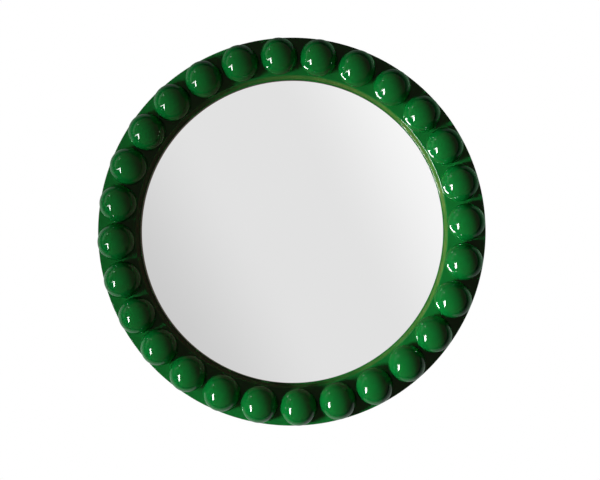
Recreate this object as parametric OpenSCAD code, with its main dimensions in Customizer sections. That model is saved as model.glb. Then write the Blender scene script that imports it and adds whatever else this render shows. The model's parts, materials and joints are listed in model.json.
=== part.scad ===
// Round wall mirror in a lacquered wooden ring set with a circle of turned balls.
// The mirror hangs upright: +Z is up, the glass faces -Y and the wall is the plane y = 0.
// The origin is on the wall plane, behind the middle of the glass.

/* [Balls] */
// Diameter of each turned ball
ball_d = 48; // [44:1:56]
// Height that each ball stands over the ring's face
ball_rise = 34; // [28:1:40]
// Gap between one ball and the next
ball_gap = 2.6; // [1.6:0.2:5]
// Turn of the whole circle of balls from the upright, in degrees
ball_turn = 3.2; // [-6:0.1:6]
// How far the balls stray from an even spacing, as they were set by hand, in degrees round the ring
ball_stray = 0.7; // [0:0.05:0.8]
// Diameter of the dowel behind each ball
dowel_d = 8; // [6:1:10]
// Length of the dowel, half in the ball and half in the ring
dowel_len = 22; // [16:1:24]

/* [Ring] */
// Thickness of the ring
ring_t = 22; // [20:1:30]
// Flat face left outside the balls
rim_margin = 0; // [0:0.5:6]
// Flat face left between the balls and the bevel
inner_margin = 0; // [0:0.5:4]
// Width and depth of the bevel round the glass
bevel = 6; // [4:0.5:8]
// Rounding of the ring's sharp edges
edge_r = 0.8; // [0.4:0.1:1.5]

/* [Glass and backing] */
// Thickness of the mirror glass
glass_t = 4; // [3:0.5:6]
// How far the recess for the glass reaches behind the ring's lip
ledge = 7.5; // [6:0.5:10]
// Gap round the edge of the glass and the board
glass_gap = 1; // [0.5:0.1:1.5]
// Thickness of the backing board
board_t = 3; // [2:0.5:4]

/* [Turn buttons] */
// Length of a turn button
button_len = 26; // [22:1:32]
// Width of a button at its pivot
button_w = 11; // [10:0.5:14]
// Width of a button at its tip
button_tip_w = 9; // [7:0.5:10]
// Thickness of a button
button_t = 1.5; // [1:0.1:2]
// Distance of the pivots from the edge of the board's recess
button_inset = 8; // [7:0.5:10]

/* [Screws] */
// Shank diameter of the screws
screw_d = 3.5; // [3:0.1:4]
// Head diameter of the screws
screw_head_d = 7; // [6:0.1:8]
// Head height of the screws
screw_head_t = 2; // [1.6:0.1:2.2]
// How deep the screws go into the ring
screw_bite = 8.5; // [7:0.5:9]

/* [Hangers] */
// Angle of the hangers above the level, seen from the middle
hanger_angle = 39.5; // [36:0.5:44]
// Width of a hanger strap
strap_w = 11; // [9:0.5:13]
// Length of a strap from its loop to its lower end
strap_len = 38; // [36:1:42]
// Sheet thickness of the strap, which lies double
strap_sheet = 0.8; // [0.6:0.05:0.95]
// Wire diameter of the D-ring
wire_d = 2.5; // [2:0.1:2.8]
// Radius of the D-ring's bow, at the middle of the wire
bow_r = 9; // [8.5:0.5:11]
// Straight part of the D-ring between its bar and its bow
d_leg = 2.5; // [1:0.5:4]

/* [Bumpers] */
// Diameter of a bumper
bumper_d = 12; // [8:1:16]
// Height of a bumper, which sets the ring off the wall
bumper_h = 6; // [5.6:0.1:8]
// Angle of the bumpers below the level
bumper_angle = 45; // [36:1:50]

/* [Hidden] */
$fn = 96;
ball_count = 28;
button_count = 6;
dowel_clear = 0.1;
dowel_end = 0.5;
pivot_clear = 0.06;
pilot_clear = 0.03;
bar_clear = 0.08;
strap_rest = 0.15;
screw_point = 3;
screw_tip_d = 0.8;
recess_w = 0.8;
hole_edge = 1.5;
bumper_taper = 1.2;
bumper_round = 0.8;
spare = 1;

// radii of the ring, worked out from the spacing of the balls outwards and inwards
ball_circle = (ball_d + ball_gap) / (2 * sin(180 / ball_count));
ring_r = ball_circle + ball_d / 2 + rim_margin;
face_in = ball_circle - ball_d / 2 - inner_margin;
sight_r = face_in - bevel;
recess_r = sight_r + ledge;
glass_r = recess_r - glass_gap;
back_mid = (recess_r + ring_r) / 2;

// depths, counted from the wall plane towards the room
back = bumper_h;
front = back + ring_t;
board_front = back + board_t;
glass_front = board_front + glass_t;
ball_mid = front + ball_rise - ball_d / 2;

// holes
dowel_hole_d = dowel_d + 2 * dowel_clear;
dowel_hole_len = dowel_len / 2 + dowel_end;
pilot_d = screw_d + 2 * pilot_clear;
pilot_len = screw_bite + dowel_end;
pivot_d = screw_d + 2 * pivot_clear;

// turn buttons
pivot_r = recess_r + button_inset;
tip_mid = button_w / 2 + button_tip_w / 2 - button_len;

// hangers: the bar of each D-ring lies in the loop at the top of its strap
strap_t = 2 * strap_sheet;
bar_hole_d = wire_d + 2 * bar_clear;
loop_d = bar_hole_d + 2 * strap_sheet;
bar_lift = strap_t + strap_rest + wire_d / 2;
bar_y = bar_lift - back;
bar_z = back_mid * sin(hanger_angle) + strap_len / 2;
hanger_x = back_mid * cos(hanger_angle);
strap_hole_1 = d_leg + bow_r + wire_d / 2 + hole_edge + screw_head_d / 2;
strap_hole_2 = strap_len - hole_edge - screw_head_d / 2;

GREEN = [0.03, 0.33, 0.13];
STEEL = [0.72, 0.73, 0.74];

// points on an arc round (x, y) from angle a to angle b
function arc(x, y, r, a, b, n = 6) =
  [for (i = [0 : n]) [x + r * cos(a + (b - a) * i / n), y + r * sin(a + (b - a) * i / n)]];

// stands a shape's height into the room, from depth y0
module room(y0 = 0) {
  translate([0, -y0, 0]) rotate([90, 0, 0]) children();
}

// stands a shape's height towards the wall, from depth y0
module wallward(y0 = 0) {
  translate([0, -y0, 0]) rotate([-90, 0, 0]) children();
}

// the place of ball i: the first is at the top, and they go clockwise as seen from the room,
// a little apart on the right and closer on the left
module at_ball(i) {
  even = (i - 1) * 360 / ball_count - ball_turn;
  a = 90 - even + ball_stray * (cos(even + 17) - 0.36 * sin(2 * even));
  translate([ball_circle * cos(a), 0, ball_circle * sin(a)]) children();
}

// the pivot of turn button k, with +X pointing outwards
module at_button(k) {
  rotate([0, -(k - 1) * 360 / button_count, 0]) translate([pivot_r, 0, 0]) children();
}

// a screw hole of the strap on side s, h below the D-ring's bar
module at_strap_hole(s, h) {
  translate([s * hanger_x, 0, bar_z - h]) children();
}

module base_ring() {
  turn = edge_r * tan(22.5);
  // section of the ring: radius across, depth up
  section = concat(
    [[recess_r, back], [ring_r - edge_r, back]],
    arc(ring_r - edge_r, back + edge_r, edge_r, -90, 0),
    arc(ring_r - edge_r, front - edge_r, edge_r, 0, 90),
    arc(face_in + turn, front - edge_r, edge_r, 90, 135),
    arc(sight_r + edge_r, front - bevel - turn, edge_r, 135, 180),
    [[sight_r, glass_front], [recess_r, glass_front]]);
  color(GREEN)
  difference() {
    room() rotate_extrude($fn = 180) polygon(section);
    for (i = [1 : ball_count])
      at_ball(i) room(front - dowel_hole_len) cylinder(d = dowel_hole_d, h = dowel_hole_len + spare);
    for (k = [1 : button_count])
      at_button(k) room(back - spare) cylinder(d = pilot_d, h = pilot_len + spare);
    for (s = [-1, 1], h = [strap_hole_1, strap_hole_2])
      at_strap_hole(s, h) room(back - spare) cylinder(d = pilot_d, h = pilot_len + spare);
  }
}

// a turned ball with a flat that sits on the ring, bored for its dowel
module ball(i) {
  color(GREEN)
  at_ball(i) room(front) difference() {
    translate([0, 0, ball_mid - front]) sphere(d = ball_d);
    translate([-ball_d, -ball_d, -ball_d]) cube([2 * ball_d, 2 * ball_d, ball_d]);
    translate([0, 0, -spare]) cylinder(d = dowel_hole_d, h = dowel_hole_len + spare);
  }
}

module ball_dowels() {
  color("burlywood")
  for (i = [1 : ball_count])
    at_ball(i) room(front - dowel_len / 2) cylinder(d = dowel_d, h = dowel_len);
}

module mirror_glass() {
  color([0.88, 0.89, 0.9])
  room(board_front) cylinder(r = glass_r, h = glass_t, $fn = 180);
}

module backing_board() {
  color([0.42, 0.3, 0.18])
  room(back) cylinder(r = glass_r, h = board_t, $fn = 180);
}

// a flat tapered plate with round ends, which turns on its screw and holds the board in
module button(k) {
  color([0.78, 0.64, 0.32])
  at_button(k) difference() {
    wallward(back) union() {
      cylinder(d = button_w, h = button_t);
      translate([tip_mid, 0, 0]) cylinder(d = button_tip_w, h = button_t);
      linear_extrude(button_t)
        polygon([[0, -button_w / 2], [0, button_w / 2],
          [tip_mid, button_tip_w / 2], [tip_mid, -button_tip_w / 2]]);
    }
    wallward(back + spare) cylinder(d = pivot_d, h = button_t + 2 * spare);
  }
}

// a pan-head screw with a cross recess: the head starts at height 0, over the shank
module screw(shank) {
  rim = screw_head_t * 0.4;
  difference() {
    union() {
      translate([0, 0, screw_point - shank]) cylinder(d = screw_d, h = shank - screw_point);
      translate([0, 0, -shank]) cylinder(d1 = screw_tip_d, d2 = screw_d, h = screw_point);
      rotate_extrude() polygon(concat(
        [[0, 0], [screw_head_d / 2, 0]],
        [for (a = [0 : 15 : 90]) [screw_head_d / 2 * cos(a), rim + (screw_head_t - rim) * sin(a)]]));
    }
    for (a = [0, 90]) rotate([0, 0, a])
      translate([-screw_head_d / 4, -recess_w / 2, screw_head_t / 2])
        cube([screw_head_d / 2, recess_w, screw_head_t]);
  }
}

module button_screws() {
  color(STEEL)
  for (k = [1 : button_count])
    at_button(k) wallward(back - button_t - pivot_clear) screw(screw_bite + button_t + pivot_clear);
}

// a strip of sheet folded double round the bar of the D-ring, with a round lower end
module strap(s) {
  low = bar_z - strap_len + strap_w / 2;
  color(STEEL)
  difference() {
    union() {
      translate([s * hanger_x - strap_w / 2, -back, low]) cube([strap_w, strap_t, bar_z - low]);
      translate([s * hanger_x, 0, low]) wallward(back) cylinder(d = strap_w, h = strap_t);
      translate([s * hanger_x - strap_w / 2, bar_y, bar_z]) rotate([0, 90, 0])
        cylinder(d = loop_d, h = strap_w);
    }
    translate([s * hanger_x - strap_w / 2 - spare, bar_y, bar_z]) rotate([0, 90, 0])
      cylinder(d = bar_hole_d, h = strap_w + 2 * spare);
    for (h = [strap_hole_1, strap_hole_2])
      at_strap_hole(s, h) wallward(back + spare) cylinder(d = pivot_d, h = strap_t + 2 * spare);
  }
}

// the D-ring as it hangs: a straight bar, two short legs and a half-round bow
module d_ring(s) {
  color(STEEL)
  translate([s * hanger_x, bar_y, bar_z]) {
    translate([-bow_r, 0, 0]) rotate([0, 90, 0]) cylinder(d = wire_d, h = 2 * bow_r);
    for (e = [-1, 1]) {
      translate([e * bow_r, 0, 0]) sphere(d = wire_d);
      translate([e * bow_r, 0, -d_leg]) cylinder(d = wire_d, h = d_leg);
    }
    translate([0, 0, -d_leg]) rotate([90, 0, 0]) rotate([0, 0, 180])
      rotate_extrude(angle = 180) translate([bow_r, 0]) circle(d = wire_d, $fn = 48);
  }
}

module strap_screws() {
  color(STEEL)
  for (s = [-1, 1], h = [strap_hole_1, strap_hole_2])
    at_strap_hole(s, h) wallward(back - strap_t) screw(screw_bite + strap_t);
}

// a rubber foot stuck low on the back
module bumper(s) {
  color([0.12, 0.12, 0.12])
  translate([s * back_mid * cos(bumper_angle), 0, -back_mid * sin(bumper_angle)])
    wallward(back) rotate_extrude() polygon([[0, 0], [bumper_d / 2, 0],
      [bumper_d / 2 - bumper_taper, bumper_h - bumper_round],
      [bumper_d / 2 - bumper_taper - bumper_round, bumper_h], [0, bumper_h]]);
}

base_ring();
ball(1);  // ball_01
ball(2);  // ball_02
ball(3);  // ball_03
ball(4);  // ball_04
ball(5);  // ball_05
ball(6);  // ball_06
ball(7);  // ball_07
ball(8);  // ball_08
ball(9);  // ball_09
ball(10);  // ball_10
ball(11);  // ball_11
ball(12);  // ball_12
ball(13);  // ball_13
ball(14);  // ball_14
ball(15);  // ball_15
ball(16);  // ball_16
ball(17);  // ball_17
ball(18);  // ball_18
ball(19);  // ball_19
ball(20);  // ball_20
ball(21);  // ball_21
ball(22);  // ball_22
ball(23);  // ball_23
ball(24);  // ball_24
ball(25);  // ball_25
ball(26);  // ball_26
ball(27);  // ball_27
ball(28);  // ball_28
ball_dowels();
mirror_glass();
backing_board();
button(1);  // button_1
button(2);  // button_2
button(3);  // button_3
button(4);  // button_4
button(5);  // button_5
button(6);  // button_6
button_screws();
strap(-1);  // strap_left
strap(1);  // strap_right
d_ring(-1);  // d_ring_left
d_ring(1);  // d_ring_right
strap_screws();
bumper(-1);  // bumper_left
bumper(1);  // bumper_right
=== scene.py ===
import json
import math
import bmesh
import bpy
from mathutils import Matrix, Vector

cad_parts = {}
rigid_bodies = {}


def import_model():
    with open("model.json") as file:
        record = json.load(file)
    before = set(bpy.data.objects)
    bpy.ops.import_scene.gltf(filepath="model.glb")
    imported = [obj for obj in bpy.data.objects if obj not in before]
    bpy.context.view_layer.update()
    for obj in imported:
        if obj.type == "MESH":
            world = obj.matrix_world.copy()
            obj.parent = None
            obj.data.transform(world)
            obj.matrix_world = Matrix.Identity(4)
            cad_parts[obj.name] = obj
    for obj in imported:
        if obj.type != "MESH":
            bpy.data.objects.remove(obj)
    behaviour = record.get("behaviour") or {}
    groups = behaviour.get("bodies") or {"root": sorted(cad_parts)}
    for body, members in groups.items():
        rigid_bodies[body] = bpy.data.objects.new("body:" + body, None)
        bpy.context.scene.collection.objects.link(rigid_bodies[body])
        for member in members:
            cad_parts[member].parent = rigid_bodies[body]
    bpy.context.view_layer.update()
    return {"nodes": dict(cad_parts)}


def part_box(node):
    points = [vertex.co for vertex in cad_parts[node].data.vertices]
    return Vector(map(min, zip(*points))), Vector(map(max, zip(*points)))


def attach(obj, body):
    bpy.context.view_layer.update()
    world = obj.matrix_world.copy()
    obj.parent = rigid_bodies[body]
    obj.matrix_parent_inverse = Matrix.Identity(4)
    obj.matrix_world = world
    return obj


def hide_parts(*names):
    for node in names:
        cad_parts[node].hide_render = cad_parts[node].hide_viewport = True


# a round bobbin mirror; lengths are in metres, and in millimetres where a name or a note says so
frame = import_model()
mm = 0.001
white = (1, 1, 1, 1)


# small helpers

def sRgb(hexColour):  # a hex colour as the linear colour that a socket takes
    parts = [int(hexColour.lstrip("#")[i:i + 2], 16) / 255 for i in (0, 2, 4)]
    return tuple(c / 12.92 if c <= 0.04045 else ((c + 0.055) / 1.055) ** 2.4 for c in parts) + (1.0,)


def emptyTree(owner):  # the cleared node tree of a material or of the world
    owner.use_nodes = True
    owner.node_tree.nodes.clear()
    return owner.node_tree


def addNode(tree, kind, inputs=(), out=0, **settings):
    # inputs go by name or number, or in the node's own order; out is the output to hand back, None the node
    node = tree.nodes.new("ShaderNode" + kind)
    for name, value in settings.items():
        setattr(node, name, value)
    given = inputs if isinstance(inputs, dict) else dict(enumerate(inputs))
    for name, value in given.items():
        if isinstance(value, bpy.types.NodeSocket):
            tree.links.new(value, node.inputs[name])
        else:
            node.inputs[name].default_value = value
    return node if out is None else node.outputs[out]


def newMaterial(name, **values):  # a material with one Principled shader
    material = bpy.data.materials.new(name)
    tree = emptyTree(material)
    shader = addNode(tree, "BsdfPrincipled", values, out=None)
    addNode(tree, "OutputMaterial", (shader.outputs[0],), out=None)
    return material, tree, shader.inputs


def mottledColour(tree, coords, sizeMm, first, second, detail=2):  # two colours in blotches sizeMm across
    blotches = addNode(tree, "TexNoise", {"Vector": coords, "Scale": 1000 / sizeMm, "Detail": detail})
    return addNode(tree, "Mix", {0: blotches, 6: sRgb(first), 7: sRgb(second)}, out=2, data_type="RGBA")


def makePiece(bm, name, material, body, nodes, sharpAngle=30):
    bmesh.ops.recalc_face_normals(bm, faces=bm.faces)
    mesh = bpy.data.meshes.new(name)
    bm.to_mesh(mesh)
    bm.free()
    mesh.shade_smooth()
    mesh.set_sharp_from_angle(angle=math.radians(sharpAngle))
    mesh.materials.append(material)
    piece = bpy.data.objects.new(name, mesh)
    bpy.context.scene.collection.objects.link(piece)
    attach(piece, body)
    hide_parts(*nodes)
    return piece


def dress(node, material):  # a CAD node that keeps its shape and gets its finish
    slots = frame["nodes"][node].data.materials
    slots.clear()
    slots.append(material)


# the lacquer
# a range such as "wear" is from, to, new from, new to, as a Map Range node takes it

lacquer = {
    "colour": "#0f993f", "colourDeep": "#0d8d3a",  # emerald pigment, a shade deeper where it lies thick
    "roughness": 0.07, "ior": 1.5,
    "patchMm": 30, "peelMm": 2.6, "peelDepthMm": 0.003, "sagMm": 12, "sagDepthMm": 0.012,
}
lip = {
    "pale": "#80a04c",  # the worn line's colour on the right half: thin lacquer, made pale as painted light where the light falls
    "brown": "#5c3a1a",  # bare wood beside the glass; in the worn line on the left half it is wear darkened into painted shade
    "wornRadius": 198.9, "lineMm": 3.2, "lineCoreMm": 0.96,  # the worn line round the mirror's middle
    "blotchMm": 14, "wear": (0.3, 0.6, 0.4, 0.8),
    # painted light and shade: the worn line turns from brown on the shaded left half to pale on the lit
    # right half, and fades where the halves meet, near the top and bottom
    "paintedPaleSide": (0.94, 0, 0.33), "paintedPaleFrom": (-0.03, 0.03, 0, 1), "reach": (0.02, 0.15, 0.5, 1),
    "bareY": -22.0, "bareFadeMm": 0.6, "bareRadius": 197.4, "bareStepMm": 1.0,
}


def wornLipPaintedLight(tree, coords, colour):  # thin lacquer along the lip's front edge, painted pale where the light falls and brown in the shade, and bare wood behind it
    flat = addNode(tree, "VectorMath", (coords, (1, 0, 1)), operation="MULTIPLY")
    radius = addNode(tree, "VectorMath", (flat,), out="Value", operation="LENGTH")
    away = addNode(tree, "Math", (radius, lip["wornRadius"] * mm), operation="SUBTRACT")
    away = addNode(tree, "Math", (away,), operation="ABSOLUTE")
    line = addNode(tree, "MapRange", (away, lip["lineMm"] * mm, lip["lineCoreMm"] * mm, 0, 1))
    blotches = addNode(tree, "TexNoise", {"Vector": coords, "Scale": 1000 / lip["blotchMm"], "Detail": 3})
    wear = addNode(tree, "MapRange", (blotches, *lip["wear"]))
    line = addNode(tree, "Math", (line, wear), operation="MULTIPLY")
    # painted light and shade: the half of the lip, lit right or shaded left, sets the worn line's colour
    # and strength
    side = addNode(tree, "VectorMath", (coords, lip["paintedPaleSide"]), out="Value", operation="DOT_PRODUCT")
    far = addNode(tree, "Math", (side,), operation="ABSOLUTE")
    reach = addNode(tree, "MapRange", (far, *lip["reach"]))
    line = addNode(tree, "Math", (line, reach), operation="MULTIPLY")
    pale = addNode(tree, "MapRange", (side, *lip["paintedPaleFrom"]))
    paintedLightGround = addNode(tree, "Mix", {0: pale, 6: sRgb(lip["brown"]), 7: sRgb(lip["pale"])},
                     out=2, data_type="RGBA")
    colour = addNode(tree, "Mix", {0: line, 6: colour, 7: paintedLightGround}, out=2, data_type="RGBA")
    depth = addNode(tree, "SeparateXYZ", (coords,), out="Y")
    behind = addNode(tree, "MapRange", (depth, (lip["bareY"] - lip["bareFadeMm"]) * mm,
                                        (lip["bareY"] + lip["bareFadeMm"]) * mm, 0, 1))
    inside = addNode(tree, "MapRange", (radius, lip["bareRadius"] * mm,
                                        (lip["bareRadius"] - lip["bareStepMm"]) * mm, 0, 1))
    bare = addNode(tree, "Math", (behind, inside), operation="MULTIPLY")
    return addNode(tree, "Mix", {0: bare, 6: colour, 7: sRgb(lip["brown"])}, out=2, data_type="RGBA")


def highGlossLacquer(name, withLip=False):
    # sprayed polyurethane lacquer on wood: deep colour under a wet gloss, with faint orange peel and sags
    material, tree, surface = newMaterial(name, Roughness=lacquer["roughness"], IOR=lacquer["ior"])
    coords = addNode(tree, "TexCoord", out="Object")
    colour = mottledColour(tree, coords, lacquer["patchMm"], lacquer["colour"], lacquer["colourDeep"])
    if withLip:
        colour = wornLipPaintedLight(tree, coords, colour)
    tree.links.new(colour, surface["Base Color"])
    waves = addNode(tree, "TexNoise", {"Vector": coords, "Scale": 1000 / lacquer["sagMm"], "Detail": 1})
    sags = addNode(tree, "Bump", {"Height": waves, "Distance": lacquer["sagDepthMm"] * mm})
    pits = addNode(tree, "TexNoise", {"Vector": coords, "Scale": 1000 / lacquer["peelMm"], "Detail": 1})
    peel = addNode(tree, "Bump", {"Height": pits, "Distance": lacquer["peelDepthMm"] * mm, "Normal": sags})
    tree.links.new(peel, surface["Normal"])
    return material


# the other finishes

silvering = {"tint": "#f7f7f7", "tintAside": "#f5f5f5", "patchMm": 180, "roughness": 0.0}


def silveredGlass():
    # float glass with a silvered back: a clean mirror that takes next to no colour from the glass
    material, tree, surface = newMaterial("silveredGlass", Metallic=1.0, Roughness=silvering["roughness"])
    coords = addNode(tree, "TexCoord", out="Object")
    tint = mottledColour(tree, coords, silvering["patchMm"], silvering["tint"], silvering["tintAside"])
    tree.links.new(tint, surface["Base Color"])
    return material


hardboard = {"brown": "#7b5a3a", "brownDeep": "#6b4b2f", "fleck": "#4d3421", "roughness": 0.62, "ior": 1.46,
             "mottleMm": 40, "fibreMm": 1.6, "fibreDetail": 4, "fibreRoughness": 0.7, "fibreDepthMm": 0.06,
             "fleckShare": (0.35, 0.7, 0, 0.7)}


def pressedHardboard():
    # hardboard: brown pressed fibre with darker flecks and a leathery smoothness
    material, tree, surface = newMaterial("pressedHardboard", Roughness=hardboard["roughness"],
                                          IOR=hardboard["ior"])
    coords = addNode(tree, "TexCoord", out="Object")
    fibre = addNode(tree, "TexNoise", {"Vector": coords, "Scale": 1000 / hardboard["fibreMm"],
                                       "Detail": hardboard["fibreDetail"],
                                       "Roughness": hardboard["fibreRoughness"]})
    base = mottledColour(tree, coords, hardboard["mottleMm"], hardboard["brown"], hardboard["brownDeep"], 3)
    flecks = addNode(tree, "MapRange", (fibre, *hardboard["fleckShare"]))
    colour = addNode(tree, "Mix", {0: flecks, 6: base, 7: sRgb(hardboard["fleck"])},
                     out=2, data_type="RGBA")
    relief = addNode(tree, "Bump", {"Height": fibre, "Distance": hardboard["fibreDepthMm"] * mm})
    tree.links.new(colour, surface["Base Color"])
    tree.links.new(relief, surface["Normal"])
    return material


brass = {"colour": "#c9a75b", "darker": "#b08f48", "roughness": 0.32, "grainMm": 0.6}
zinc = {"colour": "#c3c4c6", "darker": "#a9abad", "roughness": 0.3, "grainMm": 0.5}
metal = {"stretch": (1, 1, 0.12), "spotMm": 5, "grainDepthMm": 0.008,  # what brass and zinc share
         "grain": (0.3, 0.7), "smoother": 0.06, "rougher": 0.1}


def metalFinish(name, plate):
    # plated sheet or wire: satin metal with fine drawn grain and a few dull spots
    material, tree, surface = newMaterial(name, Metallic=1.0)
    coords = addNode(tree, "TexCoord", out="Object")
    drawn = addNode(tree, "Mapping", {"Vector": coords, "Scale": metal["stretch"]})
    grain = addNode(tree, "TexNoise", {"Vector": drawn, "Scale": 1000 / plate["grainMm"], "Detail": 3})
    roughness = addNode(tree, "MapRange", (grain, *metal["grain"], plate["roughness"] - metal["smoother"],
                                           plate["roughness"] + metal["rougher"]))
    relief = addNode(tree, "Bump", {"Height": grain, "Distance": metal["grainDepthMm"] * mm})
    colour = mottledColour(tree, coords, metal["spotMm"], plate["colour"], plate["darker"], 3)
    tree.links.new(colour, surface["Base Color"])
    tree.links.new(roughness, surface["Roughness"])
    tree.links.new(relief, surface["Normal"])
    return material


rubber = {"black": "#1d1d1c", "greyer": "#262625", "toothMm": 0.5, "toothDepthMm": 0.03,
          "roughness": 0.75, "ior": 1.5}


def mouldedRubber():
    # black rubber: dull, with a fine moulded tooth
    material, tree, surface = newMaterial("mouldedRubber", Roughness=rubber["roughness"], IOR=rubber["ior"])
    coords = addNode(tree, "TexCoord", out="Object")
    tooth = addNode(tree, "TexNoise", {"Vector": coords, "Scale": 1000 / rubber["toothMm"]})
    relief = addNode(tree, "Bump", {"Height": tooth, "Distance": rubber["toothDepthMm"] * mm})
    colour = mottledColour(tree, coords, rubber["toothMm"], rubber["black"], rubber["greyer"])
    tree.links.new(colour, surface["Base Color"])
    tree.links.new(relief, surface["Normal"])
    return material


beech = {"pale": "#d6b48a", "fleck": "#b98f63", "fleckMm": 0.8, "stretch": (1, 0.15, 1),
         "roughness": 0.6, "ior": 1.46}


def beechDowel():
    # bare beech: pale with short darker flecks along the grain
    material, tree, surface = newMaterial("beechDowel", Roughness=beech["roughness"], IOR=beech["ior"])
    coords = addNode(tree, "TexCoord", out="Object")
    along = addNode(tree, "Mapping", {"Vector": coords, "Scale": beech["stretch"]})
    colour = mottledColour(tree, along, beech["fleckMm"], beech["pale"], beech["fleck"], 3)
    tree.links.new(colour, surface["Base Color"])
    return material


ballLacquer = highGlossLacquer("ballLacquer")
ringLacquer = highGlossLacquer("ringLacquer", withLip=True)
mirrorFinish = silveredGlass()
boardFinish = pressedHardboard()
brassFinish = metalFinish("satinBrass", brass)
zincFinish = metalFinish("zincPlate", zinc)
rubberFinish = mouldedRubber()
dowelFinish = beechDowel()
print("finishes made")


# the ring, in millimetres: faceIn is its flat face's inner radius, and the lip steps in from there

ring = {"faceIn": 201.96, "bevel": 4.8, "shelf": 1.8, "ledge": 8.1, "glassFront": -13.0,
        "edgeMm": 0.5, "lipEdgeMm": 0.9, "hollowMm": 0.7, "sightEdgeMm": 0.5, "easeSteps": 8,
        "around": 360, "sharpAngle": 40}
ringLow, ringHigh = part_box("base_ring")
frontY = ringLow.y


def buildRing():  # its section from the rebate round the outside and the lip to the glass, spun
    outer, backY = ringHigh.x, ringHigh.y
    foot = (ring["faceIn"] - ring["bevel"]) * mm
    sight = foot - ring["shelf"] * mm
    shelfY = frontY + ring["bevel"] * mm
    recess = sight + ring["ledge"] * mm
    glassY = ring["glassFront"] * mm
    corners = [(recess, backY, None), (outer, backY, "edgeMm"), (outer, frontY, "edgeMm"),
               (ring["faceIn"] * mm, frontY, "lipEdgeMm"), (foot, shelfY, "hollowMm"),
               (sight, shelfY, "sightEdgeMm"), (sight, glassY, None), (recess, glassY, None)]
    bm = bmesh.new()
    points = [bm.verts.new((r, y, 0)) for r, y, eased in corners]
    for a, b in zip(points, points[1:] + points[:1]):
        bm.edges.new((a, b))
    for point, corner in zip(points, corners):
        if corner[2]:
            bmesh.ops.bevel(bm, geom=[point], offset=ring[corner[2]] * mm, affect="VERTICES",
                            segments=ring["easeSteps"], profile=0.5, material=-1)
    bmesh.ops.spin(bm, geom=bm.verts[:] + bm.edges[:], cent=(0, 0, 0), axis=(0, 1, 0), angle=math.tau,
                   steps=ring["around"], use_merge=True)
    makePiece(bm, "lacqueredRing", ringLacquer, "mirror", ["base_ring"],
              ring["sharpAngle"])


buildRing()
print("ring made")


# the balls

ball = {"count": 28, "around": 72, "along": 48, "easeMm": 0.5, "easeSteps": 2, "sharpAngle": 50}


def buildBall(node):  # a sphere whose pole points at the wall, with a flat at its back
    lo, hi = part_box(node)
    radius = (hi.x - lo.x) / 2
    middle = Vector(((lo.x + hi.x) / 2, lo.y + radius, (lo.z + hi.z) / 2))
    bm = bmesh.new()
    bmesh.ops.create_uvsphere(bm, u_segments=ball["around"], v_segments=ball["along"], radius=radius)
    bmesh.ops.rotate(bm, verts=bm.verts, cent=(0, 0, 0), matrix=Matrix.Rotation(math.pi / 2, 3, "X"))
    bmesh.ops.translate(bm, verts=bm.verts, vec=middle)
    cut = bmesh.ops.bisect_plane(bm, geom=bm.verts[:] + bm.edges[:] + bm.faces[:], plane_co=(0, hi.y, 0),
                                 plane_no=(0, 1, 0), clear_outer=True)["geom_cut"]
    rim = [e for e in cut if isinstance(e, bmesh.types.BMEdge)]
    bmesh.ops.contextual_create(bm, geom=rim)
    bmesh.ops.bevel(bm, geom=rim, offset=ball["easeMm"] * mm, affect="EDGES", segments=ball["easeSteps"],
                    profile=0.5, material=-1)
    makePiece(bm, node.replace("ball_", "turnedBall"), ballLacquer, "mirror", [node],
              ball["sharpAngle"])


for i in range(1, ball["count"] + 1):
    buildBall("ball_%02d" % i)
print("balls made")


# the hardware on the back

hardware = {"buttons": 6, "buttonEaseMm": 0.25, "strapEaseMm": 0.15, "easeSteps": 2, "easeAngle": 40,
            "weldMm": 0.002, "flatAngle": 1}


def softCopy(node, name, material, body, easeMm):  # the CAD shape with its sharp edges eased
    bm = bmesh.new()
    bm.from_mesh(frame["nodes"][node].data)
    bmesh.ops.remove_doubles(bm, verts=bm.verts, dist=hardware["weldMm"] * mm)
    bmesh.ops.dissolve_limit(bm, angle_limit=math.radians(hardware["flatAngle"]), verts=bm.verts,
                             edges=bm.edges)
    piece = makePiece(bm, name, material, body, [node])
    ease = piece.modifiers.new("ease", "BEVEL")
    ease.width = easeMm * mm
    ease.segments = hardware["easeSteps"]
    ease.limit_method = "ANGLE"
    ease.angle_limit = math.radians(hardware["easeAngle"])


for i in range(1, hardware["buttons"] + 1):
    softCopy("button_%d" % i, "turnButton%d" % i, brassFinish, "turn_button_%d" % i,
             hardware["buttonEaseMm"])
for side in ("left", "right"):
    softCopy("strap_%s" % side, "hangerStrap_%s" % side, zincFinish, "mirror",
             hardware["strapEaseMm"])
    dress("d_ring_%s" % side, zincFinish)
    dress("bumper_%s" % side, rubberFinish)
dress("button_screws", zincFinish)
dress("strap_screws", zincFinish)
dress("mirror_glass", mirrorFinish)
dress("backing_board", boardFinish)
dress("ball_dowels", dowelFinish)
print("hardware made")


# the wall and the floor

def stageObject(bm, name, material):
    mesh = bpy.data.meshes.new(name)
    bm.to_mesh(mesh)
    bm.free()
    mesh.materials.append(material)
    thing = bpy.data.objects.new(name, mesh)
    bpy.context.scene.collection.objects.link(thing)
    return thing


wall = {"holeMm": 249.0, "reach": 9.0, "around": 96, "gapMm": 0.5, "colour": "#505050", "roughness": 0.9,
        "mirrored": (0.84, 1, 0.9, 1),  # the painted glow that the lacquer mirrors in place of the wall's own light and shade
        "fade": (0.30, 0.42, 1, 0.08), "paintedLitSide": (-0.6, 0, -1), "lit": (-0.25, 0.25, 0.15, 0.5)}


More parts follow.
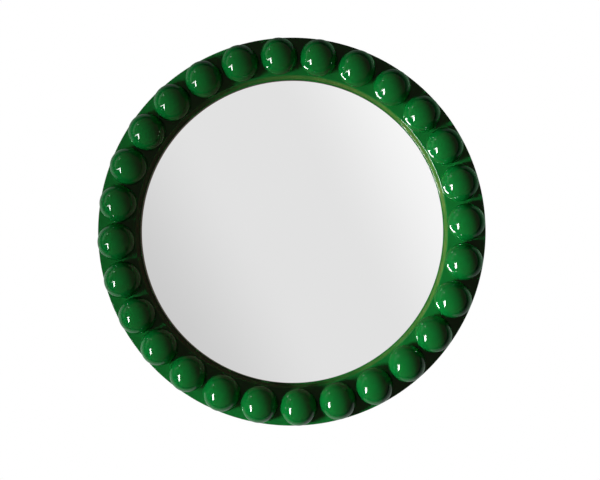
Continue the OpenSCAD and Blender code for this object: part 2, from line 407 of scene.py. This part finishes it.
def buildWall():  # open behind the mirror, so that its back can be seen and lit
    bm = bmesh.new()
    rims = [bmesh.ops.create_circle(bm, segments=wall["around"], radius=radius)["verts"]
            for radius in (wall["holeMm"] * mm, wall["reach"])]
    bmesh.ops.bridge_loops(bm, edges=list({e for v in rims[0] + rims[1] for e in v.link_edges}))
    bmesh.ops.rotate(bm, verts=bm.verts, cent=(0, 0, 0), matrix=Matrix.Rotation(math.pi / 2, 3, "X"))
    bmesh.ops.translate(bm, verts=bm.verts, vec=(0, wall["gapMm"] * mm, 0))
    plaster = bpy.data.materials.new("whitePlasterPaintedGlow")
    tree = emptyTree(plaster)
    shader = addNode(tree, "BsdfPrincipled", {"Base Color": sRgb(wall["colour"]),
                                              "Roughness": wall["roughness"]})
    # painted light and shadow: to glossy rays the wall glows, brightest near the mirror and towards the
    # lower left, where the window lights it, and dimmer on the side where the mirror shades it
    coords = addNode(tree, "TexCoord", out="Object")
    away = addNode(tree, "VectorMath", (coords,), out="Value", operation="LENGTH")
    near = addNode(tree, "MapRange", (away, *wall["fade"]))
    side = addNode(tree, "VectorMath", (coords, wall["paintedLitSide"]), out="Value", operation="DOT_PRODUCT")
    lit = addNode(tree, "MapRange", (side, *wall["lit"]))
    strength = addNode(tree, "Math", (near, lit), operation="MULTIPLY")
    seen = addNode(tree, "Emission", (wall["mirrored"], strength))
    glossy = addNode(tree, "LightPath", out="Is Glossy Ray")
    both = addNode(tree, "MixShader", (glossy, shader, seen))
    addNode(tree, "OutputMaterial", (both,), out=None)
    plaster.cycles.emission_sampling = "NONE"
    stageObject(bm, "wall", plaster).visible_camera = False


floor = {"z": -2.05, "size": 12.0, "colour": "#e6e6e4", "roughness": 0.8}


def buildFloor():  # far below the mirror, pale, and white to the camera
    bm = bmesh.new()
    bmesh.ops.create_grid(bm, x_segments=1, y_segments=1, size=floor["size"])
    bmesh.ops.translate(bm, verts=bm.verts, vec=(0, 0, floor["z"]))
    material = bpy.data.materials.new("paleFloor")
    tree = emptyTree(material)
    shader = addNode(tree, "BsdfPrincipled", {"Base Color": sRgb(floor["colour"]),
                                              "Roughness": floor["roughness"]})
    seen = addNode(tree, "Emission", (white, 1.0))
    camera = addNode(tree, "LightPath", out="Is Camera Ray")
    both = addNode(tree, "MixShader", (camera, shader, seen))
    addNode(tree, "OutputMaterial", (both,), out=None)
    thing = stageObject(bm, "floor", material)
    thing.visible_glossy = False
    thing.visible_diffuse = False


# the room around: it fills the shade a little, and the lacquer and the glass mirror it

room = {"dim": "#5d574c", "dimAside": "#6a6051", "asideFrom": (-0.9, -0.3, 0, 1),
        "backFrom": (-0.02, 0.02, 0, 1), "backLight": 0.65, "frontFill": (-1, 0, 0.014, 0),
        "glowLevel": (0.3, 0.12, 0, 1), "glowLeft": (-0.6, -0.75, 0, 0.55)}  # a pale strip far to the left


def buildWorld():
    world = bpy.data.worlds.new("studio")
    bpy.context.scene.world = world
    tree = emptyTree(world)
    path = addNode(tree, "LightPath", out=None).outputs
    direction = addNode(tree, "TexCoord", out="Generated")
    along = addNode(tree, "SeparateXYZ", (direction,), out=None).outputs
    behind = addNode(tree, "MapRange", (along["Y"], *room["backFrom"]))
    fill = addNode(tree, "MapRange", (along["Y"], *room["frontFill"]))
    strength = addNode(tree, "MapRange", (behind, 0, 1, fill, room["backLight"]))
    lit = addNode(tree, "Background", (white, strength))
    aside = addNode(tree, "Math", (along["Y"],), operation="ABSOLUTE")
    level = addNode(tree, "MapRange", (aside, *room["glowLevel"]))
    left = addNode(tree, "MapRange", (along["X"], *room["glowLeft"]))
    glow = addNode(tree, "Math", (level, left), operation="MULTIPLY")
    turned = addNode(tree, "MapRange", (along["Y"], *room["asideFrom"]))
    dim = addNode(tree, "Mix", {0: turned, 6: sRgb(room["dim"]), 7: sRgb(room["dimAside"])},
                  out=2, data_type="RGBA")
    front = addNode(tree, "Mix", {0: glow, 6: dim, 7: white}, out=2, data_type="RGBA")
    mirrored = addNode(tree, "Mix", {0: behind, 6: front, 7: white}, out=2, data_type="RGBA")
    colour = addNode(tree, "Mix", {0: path["Is Camera Ray"], 6: mirrored, 7: white},
                     out=2, data_type="RGBA")
    seen = addNode(tree, "Background", (colour, 1.0))
    shown = addNode(tree, "Math", (path["Is Camera Ray"], path["Is Glossy Ray"]), operation="ADD")
    shown = addNode(tree, "Math", (shown, path["Is Transmission Ray"]), operation="ADD", use_clamp=True)
    both = addNode(tree, "MixShader", (shown, lit, seen))
    addNode(tree, "OutputWorld", (both,), out=None)


dome = {"radius": 8.0, "around": 48, "along": 24, "bounces": 1.5,  # seen after one bounce, not after two
        "slopes": (((0.9, 0, 0.43), (-0.21, 0.2, 0.826, 1.012)),  # towards, and the greys across it
                   ((0.87, 0, 0.5), (-0.92, -0.45, -0.19, 0)))}


def buildDome(glass):  # the pale room that the glass alone mirrors, brighter to the upper right
    bm = bmesh.new()
    bmesh.ops.create_uvsphere(bm, u_segments=dome["around"], v_segments=dome["along"],
                              radius=dome["radius"])
    material = bpy.data.materials.new("paleRoom")
    tree = emptyTree(material)
    coords = addNode(tree, "TexCoord", out="Object")
    parts = []
    for towards, greys in dome["slopes"]:
        slope = addNode(tree, "VectorMath", (coords, towards), out="Value", operation="DOT_PRODUCT")
        parts.append(addNode(tree, "MapRange", (slope, *greys), interpolation_type="SMOOTHSTEP"))
    grey = addNode(tree, "Math", parts, operation="ADD")
    even = addNode(tree, "VectorMath", (grey, sRgb(room["dim"])[:3]), operation="SUBTRACT")
    depth = addNode(tree, "LightPath", out="Ray Depth")
    straight = addNode(tree, "Math", (depth, dome["bounces"]), operation="LESS_THAN")
    glow = addNode(tree, "Emission", (even, straight))  # added to the dim room that stands behind it
    clear = addNode(tree, "BsdfTransparent")
    both = addNode(tree, "AddShader", (glow, clear))
    addNode(tree, "OutputMaterial", (both,), out=None)
    material.cycles.emission_sampling = "NONE"
    thing = stageObject(bm, "paleRoom", material)
    thing.visible_camera = False
    thing.visible_diffuse = False
    thing.visible_shadow = False
    only = bpy.data.collections.new("onlyGlass")
    only.objects.link(glass)
    thing.light_linking.receiver_collection = only


# the lamps, in metres from the mirror's middle, and what stands before the window

lamps = {
    "window": {"direction": (-0.764, -0.450, -0.462), "distance": 5.0, "width": 3.49, "height": 3.15,
               "watts": 1640, "facing": (-0.933, 0.303, 0.196)},
    "sideLight": {"direction": (-0.9, -0.27, -0.3), "distance": 1.3, "width": 0.5, "height": 0.5,
                  "watts": 2.0, "mirrored": False},
    "ceilingSpot": {"direction": (-0.72, -0.33, 0.61), "distance": 3.0, "width": 0.3, "height": 0.3,
                    "watts": 1.2},
    "backWindow": {"direction": (0.62, 0.72, 0.3), "distance": 3.0, "width": 1.2, "height": 1.2,
                   "watts": 42},
}


def areaLamp(name, direction, distance, width, height, watts, facing=None, mirrored=True):
    lamp = bpy.data.lights.new(name, "AREA")
    lamp.shape = "RECTANGLE"
    lamp.size = width
    lamp.size_y = height
    lamp.energy = watts
    thing = bpy.data.objects.new(name, lamp)
    bpy.context.scene.collection.objects.link(thing)
    towards = Vector(direction).normalized()
    thing.location = towards * distance
    thing.rotation_mode = "QUATERNION"
    thing.rotation_quaternion = Vector(facing or towards).to_track_quat("Z", "Y")
    thing.visible_camera = False
    thing.visible_glossy = mirrored


# near is a share of the way to the window, and the screen's outline is in metres about that point
screen = {"near": 0.508, "shoulder": (0.163, 0.615), "slope": 4.6, "taper": 0.237, "narrow": 0.343,
          "left": -1.2, "foot": -1.2, "colour": "#0c0c0c", "roughness": 0.9}


def buildScreen():  # a dark screen that hides the window's lower left, more so from the mirror's upper left
    window = bpy.data.objects["window"]
    a, u = screen["shoulder"]
    waist = a - screen["narrow"]
    outline = [(screen["left"], screen["foot"]), (waist, screen["foot"]),
               (waist, u - screen["narrow"] / screen["taper"]), (a, u),
               (screen["left"], u + (a - screen["left"]) / screen["slope"])]
    bm = bmesh.new()
    bmesh.ops.contextual_create(bm, geom=[bm.verts.new((x, y, 0)) for x, y in outline])
    bmesh.ops.rotate(bm, verts=bm.verts, cent=(0, 0, 0), matrix=window.rotation_quaternion.to_matrix())
    bmesh.ops.translate(bm, verts=bm.verts, vec=window.location * screen["near"])
    cloth, tree, surface = newMaterial("blackCloth", Roughness=screen["roughness"])
    surface["Base Color"].default_value = sRgb(screen["colour"])
    stageObject(bm, "screen", cloth).visible_camera = False


curtain = {"near": 0.14, "size": 0.42, "towards": (1, 0, -0.05), "letThrough": (-0.17, 0.08, 0.39, 1)}


def buildCurtain():  # a net curtain before the window, thicker to the upper left of the mirror
    window = bpy.data.objects["window"]
    place = window.location * curtain["near"]
    bm = bmesh.new()
    bmesh.ops.create_grid(bm, x_segments=1, y_segments=1, size=curtain["size"])
    turn = window.location.to_track_quat("Z", "Y").to_matrix()
    bmesh.ops.rotate(bm, verts=bm.verts, cent=(0, 0, 0), matrix=turn)
    bmesh.ops.translate(bm, verts=bm.verts, vec=place)
    material = bpy.data.materials.new("netCurtain")
    tree = emptyTree(material)
    coords = addNode(tree, "TexCoord", out="Object")
    beside = addNode(tree, "VectorMath", (coords, place), operation="SUBTRACT")
    across = addNode(tree, "VectorMath", (beside, curtain["towards"]), out="Value", operation="DOT_PRODUCT")
    light = addNode(tree, "MapRange", (across, *curtain["letThrough"]), interpolation_type="SMOOTHSTEP")
    net = addNode(tree, "BsdfTransparent", (light,))
    addNode(tree, "OutputMaterial", (net,), out=None)
    stageObject(bm, "netCurtain", material).visible_camera = False


for name, lamp in lamps.items():
    areaLamp(name, **lamp)
pieces = bpy.data.collections.new("pieces")  # only they, not the wall, stand in the back window's light
for thing in bpy.data.objects:
    if thing.type == "MESH":
        pieces.objects.link(thing)
bpy.data.objects["backWindow"].light_linking.blocker_collection = pieces
buildScreen()
buildCurtain()
buildWall()
buildFloor()
buildWorld()
buildDome(frame["nodes"]["mirror_glass"])


# the camera, far off and nearly square to the mirror, framed as the photograph is

view = {"distance": 5000, "azimuth": 3.2, "elevation": -0.75, "mmPerPixel": 1.2878, "sensorMm": 36,
        "frame": (600, 480), "ringAt": (291.25, 231.49), "clipStart": 0.05, "clipEnd": 60}


def buildCamera():
    camera = bpy.data.cameras.new("camera")
    camera.sensor_width = view["sensorMm"]
    camera.lens = view["sensorMm"] * view["distance"] / (view["frame"][0] * view["mmPerPixel"])
    camera.clip_start = view["clipStart"]
    camera.clip_end = view["clipEnd"]
    eye = bpy.data.objects.new("camera", camera)
    bpy.context.scene.collection.objects.link(eye)
    az = math.radians(view["azimuth"])
    el = math.radians(view["elevation"])
    outwards = Vector((math.sin(az) * math.cos(el), -math.cos(az) * math.cos(el), math.sin(el)))
    turn = outwards.to_track_quat("Z", "Y")
    right = turn @ Vector((1, 0, 0))
    up = turn @ Vector((0, 1, 0))
    aside, below = [(view["frame"][i] / 2 - view["ringAt"][i]) * view["mmPerPixel"] * mm for i in (0, 1)]
    eye.rotation_mode = "QUATERNION"
    eye.rotation_quaternion = turn
    target = Vector((0, frontY, 0)) + right * aside - up * below
    eye.location = target + outwards * view["distance"] * mm
    bpy.context.scene.camera = eye


buildCamera()
bpy.context.scene.view_settings.view_transform = "Standard"
print("stage made")
